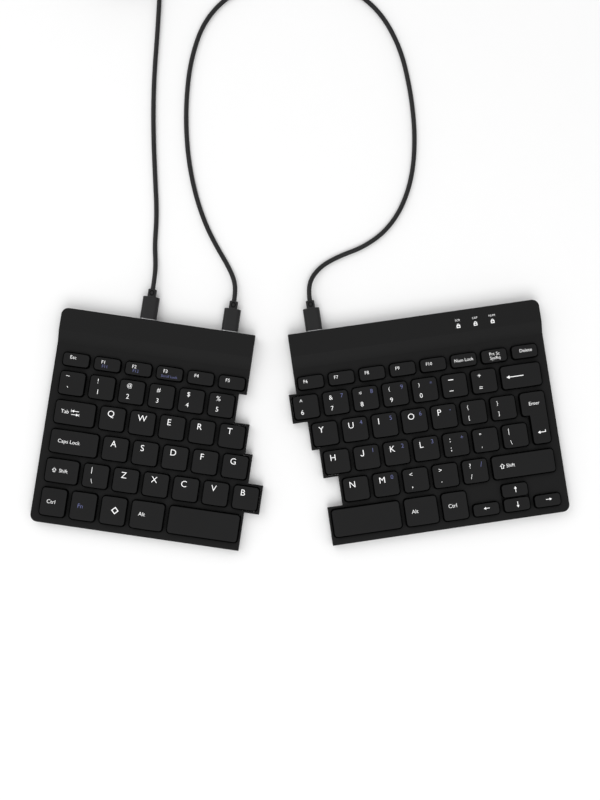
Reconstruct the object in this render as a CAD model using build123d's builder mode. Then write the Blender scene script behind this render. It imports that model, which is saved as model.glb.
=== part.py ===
from build123d import *

import os
from collections import namedtuple
from math import asin, cos, pi, radians, sin, sqrt, tan

os.makedirs("parts", exist_ok=True)

# Ergonomic split keyboard: two low half boards that lie splayed on the desk, joined by a link cable.
# Each half is drawn on its own plane. That plane's origin is the rear outer corner of the half, x runs
# along the rear edge and y runs towards the rear, so everything inside a half has a negative y.
# The world origin is on the desk under the middle of the pair, with +Y to the rear and +Z up.

# Place of the two halves on the desk
splay_angle = 8.3
left_corner_x = -150.6
left_corner_y = 74.0
right_corner_x = 151.2
right_corner_y = 79.9

# Key grid
key_pitch = 19.0
column_web = 1.7
left_function_pitch = 19.85
right_function_pitch = 19.6
function_web = 1.9
row_pitch = 18.5
row_web = 2.5
front_row_depth = 18.7
function_row_depth = 9.5
rear_strip = 27.2
front_border = 4.3
side_border = 4.8
well_corner = 2.5

# Case
wall = 1.2
deck_thickness = 1.5
deck_top = 7.2
bar_top = 10.0
bar_flat = 14.5
bar_slope = 7.5
skirt_bottom = 1.3
case_corner = 4.5
edge_round = 0.5
case_bottom = 1.0
floor_thickness = 1.2
lip_height = 1.2
lip_wall = 1.0
case_clearance = 0.15
cut_overrun = 1.0

# Key caps
cap_gap = 0.55
cap_top = 9.3
cap_height = 3.3
cap_skin = 1.2
cap_wall = 1.1
cap_taper = 5.0
cap_edge_round = 0.45
cap_dish = 0.22
cap_corner = 2.2
cap_inner_corner = 1.2
arrow_gap = 0.7
widest_dished_cap = 32.0

# Mechanism under the caps
plate_thickness = 0.5
membrane_thickness = 0.3
dome_sheet_thickness = 0.3
field_clearance = 0.15
field_setback = 1.8
touch_clearance = 0.05
dome_wall = 0.35
dome_radius = 3.0
dome_top_radius = 1.5
short_dome_radius = 1.4
short_dome_top_radius = 0.9
link_length = 10.6
link_thickness = 0.8
link_depth = 11.4
link_bar = 0.9
short_link_depth = 5.3
short_link_bar = 0.5
link_side_clearance = 0.15
full_link_cap_depth = 12.0
stabilized_cap_width = 25.0
wire_diameter = 0.8
wire_bend = 1.0
wire_side_margin = 4.0
wire_bar_offset = 4.8
wire_arm_reach = 4.2

# Circuit board, sockets and indicator lights
board_thickness = 1.0
board_clearance = 0.4
board_corner = 1.0
board_depth = 15.0
tail_width = 14.0
tail_landing = 3.0
tail_rise = 3.0
chip_side = 7.0
chip_height = 1.0
chip_inset = 68.0
chip_setback = 11.0
standoff_radius = 1.5
socket_width = 8.94
socket_height = 3.26
socket_depth = 7.35
socket_wall = 0.25
socket_floor = 0.5
socket_setback = 0.3
tongue_width = 6.7
tongue_thickness = 0.7
tongue_setback = 0.9
port_axis_height = 5.2
port_clearance = 0.15
light_radius = 1.5
light_clearance = 0.1
light_pitch = 11.0
light_inset = 31.0
light_setback = 9.8
lamp_side = 1.6
lamp_height = 0.7

# Fasteners and feet
boss_radius = 2.2
boss_hole_radius = 1.0
boss_setback = 6.2
boss_shares = (0.08, 0.655, 0.955)
screw_length = 5.5
screw_head_radius = 1.9
screw_head_height = 0.7
screw_clearance = 0.05
screw_slot_width = 0.45
foot_length = 18.0
foot_width = 6.0
foot_thickness = 1.4
foot_corner = 2.0
foot_side_margin = 7.0
foot_end_margin = 5.5
foot_clearance = 0.05
foot_screw_gap = 5.3

# Plugs and cables
cord_diameter = 3.0
plug_width = 10.6
plug_height = 5.6
plug_length = 14.6
plug_corner = 2.4
plug_gap = 0.4
plug_tip_width = 8.3
plug_tip_height = 2.4
plug_tip_length = 6.4
plug_tip_wall = 0.3
relief_width = 5.4
relief_height = 4.4
relief_corner = 1.5
relief_length = 5.0
computer_port_inset = 54.2
left_link_port_inset = 106.5
right_link_port_inset = 143.8
usb_a_width = 15.4
usb_a_height = 7.6
usb_a_length = 20.0
usb_a_corner = 2.6
usb_a_relief_radius = 3.2
usb_a_relief_end_radius = 1.9
usb_a_relief_length = 9.0
shell_width = 12.0
shell_height = 4.5
shell_length = 12.0
shell_wall = 0.4
shell_tongue_thickness = 1.8

# Cable coil, wound round a vertical axis behind the left half
coil_x = -114.0
coil_y = 308.0
coil_inner_radius = 12.5
turn_pitch = 4.1
layer_pitch = 3.6
half_turns_a_layer = 5
coil_layers = 4
coil_exit_radius = 13.0
coil_lead = 3.0
tie_width = 4.0
tie_thickness = 0.6
tie_clearance = 0.4
tie_corner = 1.5

# Free stretches of the cables, as points between the plugs' first straight run and the far end
first_run = 6.5
run_share = 0.45
computer_cable_route = (
    (-92.6, 102.0, 2.7),
    (-93.5, 115.0, 1.6),
    (-92.2, 135.0, 1.6),
    (-93.6, 160.0, 1.6),
    (-95.0, 190.0, 1.6),
    (-94.9, 222.0, 1.6),
    (-92.7, 254.0, 1.9),
    (-91.25, 281.0, 2.5),
)
link_cable_route = (
    (-42.4, 93.0, 2.8),
    (-46.8, 102.6, 1.6),
    (-53.6, 114.0, 1.6),
    (-61.2, 129.0, 1.6),
    (-68.2, 150.0, 1.6),
    (-73.0, 176.0, 1.6),
    (-74.2, 206.0, 1.6),
    (-71.2, 237.0, 1.6),
    (-61.5, 265.0, 1.6),
    (-40.0, 284.5, 1.6),
    (-9.0, 292.5, 1.6),
    (24.0, 289.5, 1.6),
    (49.5, 273.0, 1.6),
    (64.5, 247.5, 1.6),
    (71.5, 218.0, 1.6),
    (74.5, 188.5, 1.6),
    (72.8, 162.0, 1.6),
    (66.0, 140.5, 1.6),
    (55.0, 124.5, 1.6),
    (40.5, 114.2, 1.6),
    (25.5, 108.6, 1.6),
    (13.8, 102.2, 1.9),
    (7.0, 94.0, 3.4),
)

# Keys, row by row from the rear, each row laid from the outer side inwards: name, width as a share of
# the key pitch, and how many there are
arrow_share = right_function_pitch / key_pitch
left_key_shares = (
    (("escape_key", 1.0, 1), ("left_function_keys", 1.0, 5)),
    (("left_number_keys", 1.0, 6),),
    (("tab_key", 1.5, 1), ("left_upper_keys", 1.0, 5)),
    (("caps_lock_key", 1.75, 1), ("left_home_keys", 1.0, 5)),
    (("left_shift_key", 1.25, 1), ("left_lower_keys", 1.0, 6)),
    (
        ("left_control_key", 1.0, 1),
        ("function_shift_key", 1.0, 1),
        ("system_key", 1.0, 1),
        ("left_alt_key", 1.25, 1),
        ("left_space_key", 2.5, 1),
    ),
)
right_key_shares = (
    (("right_function_keys", 1.0, 8),),
    (("backspace_key", 1.5, 1), ("right_number_keys", 1.0, 7)),
    (("enter_key", 1.0, 1), ("right_upper_keys", 1.0, 7)),
    (("enter_key", 0.75, 1), ("right_home_keys", 1.0, 7)),
    (("right_shift_key", 2.25, 1), ("right_lower_keys", 1.0, 5)),
    (
        ("arrow_right_key", arrow_share, 1),
        ("arrow_up_key", arrow_share, 1),
        ("arrow_left_key", arrow_share, 1),
        ("right_control_key", 1.0, 1),
        ("right_alt_key", 1.25, 1),
        ("right_space_key", 2.42, 1),
    ),
)

# Heights and depths that follow from the sizes above
floor_top = case_bottom + floor_thickness
plate_top = floor_top + plate_thickness
membrane_top = plate_top + membrane_thickness
sheet_top = membrane_top + dome_sheet_thickness
bar_underside = bar_top - deck_thickness
cap_bottom = cap_top - cap_height
cap_underside = cap_top - cap_skin
board_top = port_axis_height - socket_height / 2
board_bottom = board_top - board_thickness
floor_inset = wall + case_clearance
field_inset = floor_inset + lip_wall + field_clearance
field_rear = rear_strip - field_setback
board_rear = floor_inset + lip_wall + board_clearance
board_front = board_rear + board_depth
row_depths = [function_row_depth] + 4 * [row_pitch - row_web] + [front_row_depth]
second_row = rear_strip + function_row_depth + (row_pitch - front_row_depth + row_web)
row_tops = [rear_strip] + [second_row + n * row_pitch for n in range(5)]
half_depth = row_tops[-1] + row_depths[-1] + front_border
plug_reach = plug_gap + plug_length + relief_length
turn = radians(splay_angle)

Half = namedtuple("Half", "side plane inward wells caps reaches port_insets")


def finish(piece, name):
    """Labels a finished piece and writes it."""
    piece.part.label = name
    export_step(piece.part, f"parts/{name}.step")


def lay_wells(key_shares, inward, function_pitch):
    """Key wells as (key, x, y, width, depth), and how far each row reaches in from the outer side."""
    wells = []
    reaches = []
    for row, keys in enumerate(key_shares):
        pitch, web = (function_pitch, function_web) if row == 0 else (key_pitch, column_web)
        near_side = side_border
        for name, share, count in keys:
            width = share * pitch - web
            for _ in range(count):
                x = inward * (near_side + width / 2)
                y = -row_tops[row] - row_depths[row] / 2
                wells.append((name, x, y, width, row_depths[row]))
                near_side += share * pitch
        reaches.append(near_side - web + wall)
    return wells, reaches


def join_enter(wells):
    """Stretches the lower Enter well to the rear of the upper one, so that the two make one upright L."""
    upper, lower = [well for well in wells if well[0] == "enter_key"]
    rear = upper[2] + upper[4] / 2
    front = lower[2] - lower[4] / 2
    joined = ("enter_key", lower[1], (rear + front) / 2, lower[3], rear - front)
    return [joined if well is lower else well for well in wells]


def halve_side_arrows(wells):
    """Keeps only the front half of the wells of the left and right arrows."""
    half_well = (front_row_depth - arrow_gap) / 2
    halved = []
    for name, x, y, width, depth in wells:
        if name in ("arrow_right_key", "arrow_left_key"):
            halved.append((name, x, y - depth / 2 + half_well / 2, width, half_well))
        else:
            halved.append((name, x, y, width, depth))
    return halved


def place_caps(wells):
    """Caps by key as (x, y, width, depth): the well less the gap, and two caps in the up and down well."""
    caps = {}
    for name, x, y, width, depth in wells:
        cap_width = width - 2 * cap_gap
        cap_depth = depth - 2 * cap_gap
        if name == "arrow_up_key":
            each_depth = (cap_depth - arrow_gap) / 2
            offset_y = (each_depth + arrow_gap) / 2
            caps["arrow_up_key"] = [(x, y + offset_y, cap_width, each_depth)]
            caps["arrow_down_key"] = [(x, y - offset_y, cap_width, each_depth)]
        else:
            caps.setdefault(name, []).append((x, y, cap_width, cap_depth))
    return caps


def make_half(side, corner, inward, key_shares, function_pitch, port_insets):
    """Lays out one half of the keyboard."""
    plane = Plane(origin=corner, x_dir=(cos(turn), -inward * sin(turn), 0), z_dir=(0, 0, 1))
    wells, reaches = lay_wells(key_shares, inward, function_pitch)
    if side == "right":
        wells = halve_side_arrows(join_enter(wells))
    return Half(side, plane, inward, wells, place_caps(wells), reaches, port_insets)


def rear_plane(half):
    """Plane of the rear edge, looking along the plugs: x runs outwards from it and y is up."""
    return Plane(origin=half.plane.origin, x_dir=-half.plane.x_dir, z_dir=half.plane.y_dir)


def side_plane(half):
    """Plane across the half: x runs to the rear, y is up and the normal runs along the rear edge."""
    return Plane(origin=half.plane.origin, x_dir=half.plane.y_dir, z_dir=half.plane.x_dir)


def outline_points(half, inset, rear):
    """Corner points of the stepped outline, drawn in from the case edge by the inset."""
    points = [(half.inward * inset, -rear), (half.inward * (half.reaches[0] - inset), -rear)]
    for row in range(1, len(half.reaches)):
        before, after = half.reaches[row - 1], half.reaches[row]
        if after > before:
            step = row_tops[row] - wall + inset
        else:
            step = row_tops[row - 1] + row_depths[row - 1] + wall - inset
        points.append((half.inward * (before - inset), -step))
        points.append((half.inward * (after - inset), -step))
    points.append((half.inward * (half.reaches[-1] - inset), inset - half_depth))
    points.append((half.inward * inset, inset - half_depth))
    return points


def draw_outline(sketch, half, inset, rear):
    """Draws the stepped outline into the sketch at hand and rounds its two outer corners."""
    with BuildLine() as boundary:
        Polyline(*outline_points(half, inset, rear), close=True)
    make_face(boundary.edges())
    outer = sketch.vertices().group_by(Axis.X)[0 if half.inward > 0 else -1]
    fillet(outer, case_corner - inset)


def draw_rectangles(places, shrink, corner):
    """Draws a rounded rectangle at each place, smaller by shrink on every side."""
    for x, y, width, depth in places:
        with Locations((x, y)):
            RectangleRounded(width - 2 * shrink, depth - 2 * shrink, corner)


def draw_above_top(drop):
    """Draws the space over the bar's slope and the deck, lowered by drop, in a side plane."""
    over = bar_top + cut_overrun
    front = -half_depth - cut_overrun
    slope_foot = -bar_flat - bar_slope
    with BuildLine() as boundary:
        Polyline(
            (-bar_flat, over),
            (-bar_flat, bar_top - drop),
            (slope_foot, deck_top - drop),
            (front, deck_top - drop),
            (front, over),
            close=True,
        )
    make_face(boundary.edges())


def boss_places(half):
    """Screw bosses along the rear bar."""
    return [(half.inward * share * half.reaches[0], -boss_setback) for share in boss_shares]


def light_places():
    """Indicator lights in the right half's rear bar."""
    return [(-light_inset - n * light_pitch, -light_setback) for n in range(3)]


def build_cavity(half):
    """Space inside the top case, under the deck and the bar."""
    with BuildPart() as cavity:
        with BuildSketch(half.plane.offset(skirt_bottom - cut_overrun)) as outline:
            draw_outline(outline, half, wall, wall)
        extrude(amount=bar_underside - skirt_bottom + cut_overrun)
        with BuildSketch(side_plane(half)):
            draw_above_top(deck_thickness)
        extrude(amount=max(half.reaches) + cut_overrun, both=True, mode=Mode.SUBTRACT)
    return cavity


def build_top_case(half):
    """Shell with the deck, its key wells, the raised rear bar, the ports and the screw bosses."""
    cavity = build_cavity(half)
    with BuildPart() as top_case:
        with BuildSketch(half.plane.offset(skirt_bottom)) as outline:
            draw_outline(outline, half, 0, 0)
        extrude(amount=bar_top - skirt_bottom)
        with BuildSketch(side_plane(half)):
            draw_above_top(0)
        extrude(amount=max(half.reaches) + cut_overrun, both=True, mode=Mode.SUBTRACT)
        fillet(rim_edges(top_case, half), edge_round)
        add(cavity.part, mode=Mode.SUBTRACT)
        with BuildSketch(half.plane.offset(floor_top)):
            with Locations(*boss_places(half)):
                Circle(boss_radius)
        extrude(amount=bar_underside - floor_top)
        with BuildSketch(half.plane.offset(floor_top)):
            with Locations(*boss_places(half)):
                Circle(boss_hole_radius)
        extrude(amount=bar_underside - floor_top, mode=Mode.SUBTRACT)
        with BuildSketch(half.plane.offset(deck_top + cut_overrun)):
            draw_rectangles([well[1:] for well in half.wells], 0, well_corner)
        extrude(amount=-deck_thickness - 2 * cut_overrun, mode=Mode.SUBTRACT)
        with BuildSketch(rear_plane(half).offset(cut_overrun)):
            for inset in half.port_insets:
                with Locations((-half.inward * inset, port_axis_height)):
                    SlotOverall(socket_width + 2 * port_clearance, socket_height + 2 * port_clearance)
        extrude(amount=-wall - 2 * cut_overrun, mode=Mode.SUBTRACT)
        if half.side == "right":
            with BuildSketch(half.plane.offset(bar_top + cut_overrun)):
                with Locations(*light_places()):
                    Circle(light_radius + light_clearance)
            extrude(amount=-deck_thickness - 2 * cut_overrun, mode=Mode.SUBTRACT)
    return top_case


def rim_edges(top_case, half):
    """Outer edges round the top of the bar, its slope and the deck, without the two fold lines."""
    folds = (-bar_flat, -bar_flat - bar_slope)
    edges = []
    for edge in top_case.edges():
        middle = edge.center()
        if middle.Z < deck_top - touch_clearance:
            continue
        local = half.plane.to_local_coords(middle)
        level = abs(edge.tangent_at(0).dot(half.plane.x_dir)) > cos(turn)
        if level and min(abs(local.Y - fold) for fold in folds) < touch_clearance:
            continue
        edges.append(edge)
    return edges


def foot_places(half):
    """Rubber feet: two in front of the screws and two along the front edge."""
    near = foot_side_margin + foot_length / 2
    rear = -boss_setback - screw_head_radius - foot_screw_gap - foot_width / 2
    front = -half_depth + foot_end_margin + foot_width / 2
    rear_far = half.reaches[0] - near
    front_far = half.reaches[-1] - near
    corners = ((near, rear), (rear_far, rear), (near, front), (front_far, front))
    return [(half.inward * x, y) for x, y in corners]


def build_bottom_case(half):
    """Floor with the lip that locates it in the top case, foot recesses and countersunk screw holes."""
    with BuildPart() as bottom_case:
        with BuildSketch(half.plane.offset(case_bottom)) as outline:
            draw_outline(outline, half, floor_inset, floor_inset)
        extrude(amount=floor_thickness + lip_height)
        with BuildSketch(half.plane.offset(floor_top)) as inside:
            draw_outline(inside, half, floor_inset + lip_wall, floor_inset + lip_wall)
        extrude(amount=lip_height, mode=Mode.SUBTRACT)
        with BuildSketch(half.plane.offset(floor_top)):
            with Locations(*standoff_places(half)):
                Circle(standoff_radius)
        extrude(amount=board_bottom - floor_top)
        with BuildSketch(half.plane.offset(case_bottom)):
            with Locations(*foot_places(half)):
                RectangleRounded(
                    foot_length + 2 * foot_clearance, foot_width + 2 * foot_clearance, foot_corner
                )
        extrude(amount=foot_thickness - case_bottom, mode=Mode.SUBTRACT)
        with BuildSketch(half.plane.offset(case_bottom)):
            with Locations(*boss_places(half)):
                Circle(screw_head_radius + screw_clearance)
        extrude(amount=screw_head_height, mode=Mode.SUBTRACT)
        with BuildSketch(half.plane.offset(case_bottom)):
            with Locations(*boss_places(half)):
                Circle(boss_hole_radius)
        extrude(amount=floor_thickness, mode=Mode.SUBTRACT)
    return bottom_case


def standoff_places(half):
    """Posts that carry the circuit board, half way between the screw bosses."""
    bosses = boss_places(half)
    middle = -(board_rear + board_front) / 2
    return [((bosses[n][0] + bosses[n + 1][0]) / 2, middle) for n in range(2)]


def build_feet(half):
    """Rubber pads in the recesses of the floor."""
    with BuildPart() as feet:
        with BuildSketch(half.plane):
            with Locations(*foot_places(half)):
                RectangleRounded(foot_length, foot_width, foot_corner - foot_clearance)
        extrude(amount=foot_thickness)
    return feet


def build_screws(half):
    """Countersunk screws from below into the bosses."""
    with BuildPart() as screws:
        with BuildSketch(half.plane.offset(case_bottom)):
            with Locations(*boss_places(half)):
                Circle(screw_head_radius)
        extrude(amount=screw_head_height)
        with BuildSketch(half.plane.offset(case_bottom)):
            with Locations(*boss_places(half)):
                Circle(boss_hole_radius - screw_clearance)
        extrude(amount=screw_length)
        with BuildSketch(half.plane.offset(case_bottom)):
            with Locations(*boss_places(half)):
                Rectangle(screw_head_radius, screw_slot_width)
                Rectangle(screw_slot_width, screw_head_radius)
        extrude(amount=screw_head_height / 2, mode=Mode.SUBTRACT)
    return screws


def build_back_plate(half):
    """Steel plate on the floor that carries the key mechanism."""
    with BuildPart() as plate:
        with BuildSketch(half.plane.offset(floor_top)) as outline:
            draw_outline(outline, half, field_inset, field_rear)
        extrude(amount=plate_thickness)
    return plate


def build_membrane(half):
    """Contact membrane on the plate, with the tail that rises to the circuit board."""
    rise_rear = -board_front - board_clearance
    rise_front = rise_rear - tail_rise
    landing = board_top + touch_clearance
    tail_rear = -board_front + tail_landing
    with BuildPart() as membrane:
        with BuildSketch(half.plane.offset(plate_top)) as outline:
            draw_outline(outline, half, field_inset, field_rear)
        extrude(amount=membrane_thickness)
        tail_plane = side_plane(half).offset(half.inward * chip_inset)
        with BuildSketch(tail_plane):
            with BuildLine():
                Polyline(
                    (-field_rear - membrane_thickness, plate_top),
                    (rise_front, plate_top),
                    (rise_rear, landing),
                    (tail_rear, landing),
                    (tail_rear, landing + membrane_thickness),
                    (rise_rear, landing + membrane_thickness),
                    (rise_front, membrane_top),
                    (-field_rear - membrane_thickness, membrane_top),
                    close=True,
                )
            make_face()
        extrude(amount=tail_width / 2, both=True)
    return membrane


def key_places(half, full):
    """Middle of each cap that has a full size or a short scissor, as the caps' sizes decide."""
    places = []
    for caps in half.caps.values():
        for x, y, width, depth in caps:
            is_full = depth > full_link_cap_depth and width < stabilized_cap_width
            joined_enter = depth > front_row_depth
            if is_full == full and not joined_enter:
                places.append((x, y))
    return places


def build_dome_sheet(half):
    """Rubber sheet on the membrane, with a hollow dome under each cap."""
    dome_height = cap_underside - touch_clearance - sheet_top
    sizes = ((True, dome_radius, dome_top_radius), (False, short_dome_radius, short_dome_top_radius))
    with BuildPart(half.plane) as sheet:
        with BuildSketch(half.plane.offset(membrane_top)) as outline:
            draw_outline(outline, half, field_inset, field_rear)
        extrude(amount=dome_sheet_thickness)
        for full, radius, top_radius in sizes:
            with Locations(*[(x, y, sheet_top + dome_height / 2) for x, y in key_places(half, full)]):
                Cone(radius, top_radius, dome_height)
        for full, radius, top_radius in sizes:
            hollow = dome_height - dome_wall
            with Locations(*[(x, y, membrane_top + hollow / 2) for x, y in key_places(half, full)]):
                Cone(radius - dome_wall, top_radius - dome_wall, hollow, mode=Mode.SUBTRACT)
    return sheet


def build_scissor(depth, bar):
    """Crossed pair of link frames between the dome sheet and a cap."""
    low = sheet_top + touch_clearance
    high = cap_underside - touch_clearance
    tilt = asin((high - low - link_thickness) / link_length)
    middle = (low + high) / 2
    inner_depth = depth - 2 * bar - 2 * link_side_clearance
    with BuildPart() as scissor:
        for lean, frame_depth in ((1, depth), (-1, inner_depth)):
            frame_plane = Plane(
                origin=(0, 0, middle),
                x_dir=(cos(tilt), 0, lean * sin(tilt)),
                z_dir=(-lean * sin(tilt), 0, cos(tilt)),
            )
            with BuildSketch(frame_plane.offset(-link_thickness / 2)):
                Rectangle(link_length, frame_depth)
                Rectangle(link_length - 2 * bar, frame_depth - 2 * bar, mode=Mode.SUBTRACT)
            extrude(amount=link_thickness)
    return scissor


def build_scissor_links(half):
    """A scissor under every cap."""
    full_scissor = build_scissor(link_depth, link_bar)
    short_scissor = build_scissor(short_link_depth, short_link_bar)
    with BuildPart(half.plane) as links:
        with Locations(*key_places(half, True)):
            add(full_scissor.part)
        with Locations(*key_places(half, False)):
            add(short_scissor.part)
    return links


def build_stabilizer_wires(half):
    """Bent wires that keep the wide caps level, with their long bar behind the scissor."""
    low = sheet_top + touch_clearance + wire_diameter / 2
    high = cap_underside - touch_clearance - wire_diameter / 2
    wide = [cap for caps in half.caps.values() for cap in caps if cap[2] > stabilized_cap_width]
    with BuildPart() as wires:
        for x, y, width, _ in wide:
            side = width / 2 - wire_side_margin
            bar_y = y + wire_bar_offset
            arm_y = bar_y - wire_arm_reach
            corners = (
                (x - side, arm_y, low),
                (x - side, bar_y, high),
                (x + side, bar_y, high),
                (x + side, arm_y, low),
            )
            points = [half.plane.from_local_coords(Vector(*corner)) for corner in corners]
            with BuildLine() as route:
                FilletPolyline(*points, radius=wire_bend)
            with BuildSketch(Plane(origin=route.line @ 0, z_dir=route.line % 0)):
                Circle(wire_diameter / 2)
            sweep(path=route.line)
    return wires


def build_circuit_board(half):
    """Board under the rear bar, with its controller chip and, on the right half, the indicator lamps."""
    far = half.reaches[0] - board_rear
    middle = (half.inward * (board_rear + far) / 2, -(board_rear + board_front) / 2)
    with BuildPart() as board:
        with BuildSketch(half.plane.offset(board_bottom)):
            with Locations(middle):
                RectangleRounded(far - board_rear, board_depth, board_corner)
            with Locations(*boss_places(half)):
                Circle(boss_radius + board_clearance, mode=Mode.SUBTRACT)
        extrude(amount=board_thickness)
        with BuildSketch(half.plane.offset(board_top)):
            with Locations((half.inward * chip_inset, -chip_setback + tail_landing)):
                Rectangle(chip_side, chip_side)
        extrude(amount=chip_height)
        if half.side == "right":
            with BuildSketch(half.plane.offset(board_top)):
                with Locations(*light_places()):
                    Rectangle(lamp_side, lamp_side)
            extrude(amount=lamp_height)
    return board


def build_sockets(half):
    """Small USB sockets on the board, their mouths in the rear wall."""
    mouth = rear_plane(half).offset(-socket_setback)
    back = mouth.offset(socket_floor - socket_depth)
    places = [(-half.inward * inset, port_axis_height) for inset in half.port_insets]
    with BuildPart() as sockets:
        with BuildSketch(mouth):
            with Locations(*places):
                SlotOverall(socket_width, socket_height)
        extrude(amount=-socket_depth)
        with BuildSketch(mouth):
            with Locations(*places):
                SlotOverall(socket_width - 2 * socket_wall, socket_height - 2 * socket_wall)
        extrude(amount=socket_floor - socket_depth, mode=Mode.SUBTRACT)
        with BuildSketch(back):
            with Locations(*places):
                Rectangle(tongue_width, tongue_thickness)
        extrude(amount=socket_depth - socket_floor - tongue_setback)
    return sockets


def build_indicator_lights(half):
    """Light pipes from the lamps to the top of the rear bar."""
    foot = board_top + lamp_height + touch_clearance
    with BuildPart() as lights:
        with BuildSketch(half.plane.offset(foot)):
            with Locations(*light_places()):
                Circle(light_radius)
        extrude(amount=bar_top - foot)
    return lights


def build_caps(half, places):
    """Hollow caps with a shallow dish along each that is not too wide for one."""
    top_shrink = cap_height * tan(radians(cap_taper))
    with BuildPart() as caps:
        with BuildSketch(half.plane.offset(cap_bottom)):
            draw_rectangles(places, 0, cap_corner)
        extrude(amount=cap_height, taper=cap_taper)
        fillet(caps.faces().group_by(Axis.Z)[-1].edges(), cap_edge_round)
        with BuildSketch(half.plane.offset(cap_bottom)):
            draw_rectangles(places, cap_wall, cap_inner_corner)
        extrude(amount=cap_height - cap_skin, taper=cap_taper, mode=Mode.SUBTRACT)
        for x, y, width, depth in places:
            if width < widest_dished_cap and depth < front_row_depth:
                chord = width - 2 * (top_shrink + cap_edge_round)
                dish_radius = (chord**2 / 4 + cap_dish**2) / (2 * cap_dish)
                with BuildSketch(side_plane_at(half, y + depth / 2 + cut_overrun)):
                    with Locations((-x, cap_top - cap_dish + dish_radius)):
                        Circle(dish_radius)
                extrude(amount=-depth - 2 * cut_overrun, mode=Mode.SUBTRACT)
    return caps


def side_plane_at(half, y):
    """Plane across the keys at a depth y, facing the rear, with y up."""
    return rear_plane(half).offset(y)


def build_plug(half, inset):
    """Moulded plug with its strain relief and the metal tip that sits in the socket."""
    face = rear_plane(half)
    place = (-half.inward * inset, port_axis_height)
    with BuildPart() as plug:
        with BuildSketch(face.offset(plug_gap)):
            with Locations(place):
                RectangleRounded(plug_width, plug_height, plug_corner)
        extrude(amount=plug_length)
        fillet(plug.faces().sort_by(Axis.Y)[-1].edges(), edge_round)
        with BuildSketch(face.offset(plug_gap + plug_length)):
            with Locations(place):
                RectangleRounded(relief_width, relief_height, relief_corner)
        extrude(amount=relief_length)
        fillet(plug.faces().sort_by(Axis.Y)[-1].edges(), edge_round)
        with BuildSketch(face.offset(plug_gap)):
            with Locations(place):
                SlotOverall(plug_tip_width, plug_tip_height)
        extrude(amount=-plug_tip_length)
        with BuildSketch(face.offset(plug_gap - plug_tip_length)):
            with Locations(place):
                SlotOverall(plug_tip_width - 2 * plug_tip_wall, plug_tip_height - 2 * plug_tip_wall)
        extrude(amount=plug_tip_length, mode=Mode.SUBTRACT)
    return plug


def exit_points(half, inset):
    """Where a cable leaves its plug, and the end of its first straight run."""
    x = half.inward * inset
    return [
        half.plane.from_local_coords(Vector(x, plug_reach, port_axis_height)),
        half.plane.from_local_coords(Vector(x, plug_reach + first_run, port_axis_height)),
    ]


def corner_radii(points):
    """Radius at each corner of a route: a share of the shorter run over the tangent of half the turn."""
    radii = []
    for before, corner, after in zip(points, points[1:], points[2:]):
        first = corner - before
        second = after - corner
        half_turn = radians(first.get_angle(second)) / 2
        radii.append(run_share * min(first.length, second.length) / tan(half_turn))
    return radii


def build_cord(name, points):
    """Tube along straight runs joined by tangent arcs. Prints its length, radii and volume."""
    radii = corner_radii(points)
    with BuildPart() as cord:
        with BuildLine() as route:
            FilletPolyline(*points, radius=radii)
        path = route.wires()[0]
        with BuildSketch(Plane(origin=path @ 0, z_dir=path % 0)):
            Circle(cord_diameter / 2)
        sweep(path=path)
    length = path.length
    section = pi * cord_diameter**2 / 4
    print(name, "length", round(length, 1), "radii", [round(radius, 1) for radius in radii])
    print(name, "volume", round(cord.part.volume), "section by length", round(section * length))
    return cord


def coil_ends():
    """Ends of the coil's half turns, all on the line through its middle along x."""
    step = turn_pitch / 2
    radius = coil_inner_radius + half_turns_a_layer * step
    height = tie_thickness + tie_clearance + cord_diameter / 2
    side = 1
    ends = [Vector(coil_x + side * radius, coil_y, height)]
    for layer in range(coil_layers):
        inwards = 1 if layer % 2 else -1
        for _ in range(half_turns_a_layer):
            radius += inwards * step
            side = -side
            ends.append(Vector(coil_x + side * radius, coil_y, height))
        if layer < coil_layers - 1:
            height += layer_pitch
            side = -side
            ends.append(Vector(coil_x + side * radius, coil_y, height))
    drop = height - usb_a_axis_height
    ends.append(ends[-1] - Vector(sqrt(4 * coil_exit_radius**2 - drop**2), 0, drop))
    return ends


def half_turn_middle(start, end, towards):
    """Middle point of the half turn between two ends, on the given side in y."""
    return (start + end) / 2 + Vector(0, towards * (end - start).length / 2, 0)


def build_coil():
    """Unseen length of the computer cable, wound in half turns and brought down beside the coil."""
    ends = coil_ends()
    with BuildPart() as coil:
        with BuildLine() as route:
            Line(ends[0] - Vector(0, coil_lead, 0), ends[0])
            for number, (start, end) in enumerate(zip(ends, ends[1:])):
                towards = -1 if number % 2 else 1
                ThreePointArc(start, half_turn_middle(start, end, towards), end)
            Line(ends[-1], ends[-1] + Vector(0, coil_lead, 0))
        path = route.wires()[0]
        with BuildSketch(Plane(origin=path @ 0, z_dir=path % 0)):
            Circle(cord_diameter / 2)
        sweep(path=path)
    length = path.length
    section = pi * cord_diameter**2 / 4
    print("coil length", round(length, 1), "least gap", round(least_gap(path, length), 2))
    print("coil volume", round(coil.part.volume), "section by length", round(section * length))
    return coil


def least_gap(line, length):
    """Least space between stretches of the coil that are over a quarter turn apart, from points."""
    apart = coil_inner_radius * pi / 2
    spacing = cord_diameter / 3
    count = int(length / spacing)
    points = [line @ (n / count) for n in range(count + 1)]
    skip = int(apart / spacing)
    gaps = []
    for n, here in enumerate(points):
        for there in points[n + skip :]:
            gaps.append((there - here).length)
    return min(gaps) - cord_diameter


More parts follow.
